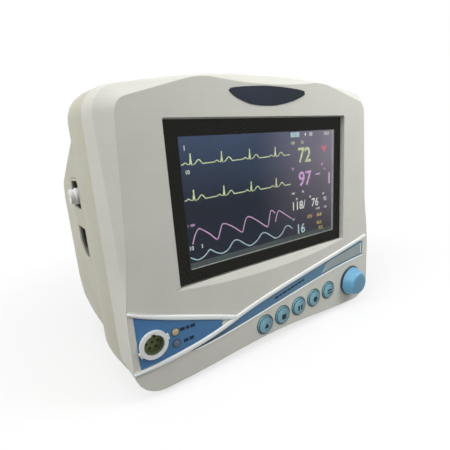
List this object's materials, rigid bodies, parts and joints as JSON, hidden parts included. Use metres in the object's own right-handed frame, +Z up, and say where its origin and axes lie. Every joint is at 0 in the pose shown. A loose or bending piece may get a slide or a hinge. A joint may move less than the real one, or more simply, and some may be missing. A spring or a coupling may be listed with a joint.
{
  "type": "patient monitor",
  "caption": "Bedside patient monitor with a recessed display, round front keys, a push-and-turn knob, a front ECG socket and a side connector bay.",
  "frame": {"origin": "on the resting plane under the feet, at the middle of the overall box from side to side and front to back", "axes": "+X to the viewer's right, the display faces -Y, +Z up"},
  "size_m": [0.2722, 0.178, 0.2216],
  "materials": {
    "shell": "fine satin texture",
    "glass": "gloss",
    "foam": "matt",
    "screen": "gloss",
    "steel": "plated sheet",
    "board": "solder mask",
    "brass": "plain",
    "navy": "satin",
    "blue": "satin film",
    "lens": "frosted",
    "dark": "matt",
    "key": "satin",
    "nylon": "satin",
    "knob": "satin",
    "white": "satin",
    "green": "matt",
    "amber": "clear dome",
    "grey_lamp": "clear dome",
    "tub": "fine texture",
    "port": "satin",
    "silicone": "translucent",
    "battery": "shrink sleeve",
    "rubber": "matt"
  },
  "bodies": {
    "housing": {"front_shell": "shell", "rear_shell": "shell", "window_glass": "glass", "window_gasket": "foam", "lcd_panel": "screen", "lcd_module": "steel", "lcd_bracket": "steel", "lcd_screws": "steel", "main_board": "board", "board_standoffs": "brass", "board_screws": "steel", "badge_plate": "navy", "corner_overlay": "blue", "stripe_overlay": "blue", "alarm_lens": "lens", "panel_board": "board", "panel_screws": "steel", "key_switches": "dark", "encoder_body": "dark", "encoder_nut": "steel", "ecg_collar": "white", "ecg_insert": "green", "ecg_pins": "brass", "ecg_nut": "dark", "power_lamp": "amber", "battery_lamp": "grey_lamp", "lamp_board": "board", "bay_tub": "tub", "pressure_port": "port", "oxygen_socket": "dark", "parameter_board": "board", "pump": "dark", "pump_saddle": "steel", "pressure_valve": "dark", "air_tube": "silicone", "chassis_tray": "steel", "power_board": "board", "speaker": "dark", "mains_inlet": "dark", "mains_pins": "steel", "ground_stud": "steel", "network_jack": "dark", "battery_pack": "battery", "battery_door": "shell", "fasteners": "steel", "feet": "rubber"},
    "key_1": {"key_1": "key", "plunger_1": "nylon"},
    "key_2": {"key_2": "key", "plunger_2": "nylon"},
    "key_3": {"key_3": "key", "plunger_3": "nylon"},
    "key_4": {"key_4": "key", "plunger_4": "nylon"},
    "key_5": {"key_5": "key", "plunger_5": "nylon"},
    "push_stage": {"encoder_push": "nylon"},
    "knob": {"knob": "knob", "encoder_shaft": "steel"}
  },
  "joints": [
    {"name": "key_1_press", "type": "slide", "parent": "housing", "child": "key_1", "axis": [0, 1, 0], "range_m": [0, 0.001], "stiffness_N_per_m": 1200},
    {"name": "key_2_press", "type": "slide", "parent": "housing", "child": "key_2", "axis": [0, 1, 0], "range_m": [0, 0.001], "stiffness_N_per_m": 1200},
    {"name": "key_3_press", "type": "slide", "parent": "housing", "child": "key_3", "axis": [0, 1, 0], "range_m": [0, 0.001], "stiffness_N_per_m": 1200},
    {"name": "key_4_press", "type": "slide", "parent": "housing", "child": "key_4", "axis": [0, 1, 0], "range_m": [0, 0.001], "stiffness_N_per_m": 1200},
    {"name": "key_5_press", "type": "slide", "parent": "housing", "child": "key_5", "axis": [0, 1, 0], "range_m": [0, 0.001], "stiffness_N_per_m": 1200},
    {"name": "knob_push", "type": "slide", "parent": "housing", "child": "push_stage", "axis": [0, 1, 0], "range_m": [0, 0.0008], "stiffness_N_per_m": 3000},
    {"name": "knob_turn", "type": "hinge", "parent": "push_stage", "child": "knob", "pos_m": [0.1, -0.077, 0.027], "axis": [0, -1, 0], "continuous": true}
  ]
}
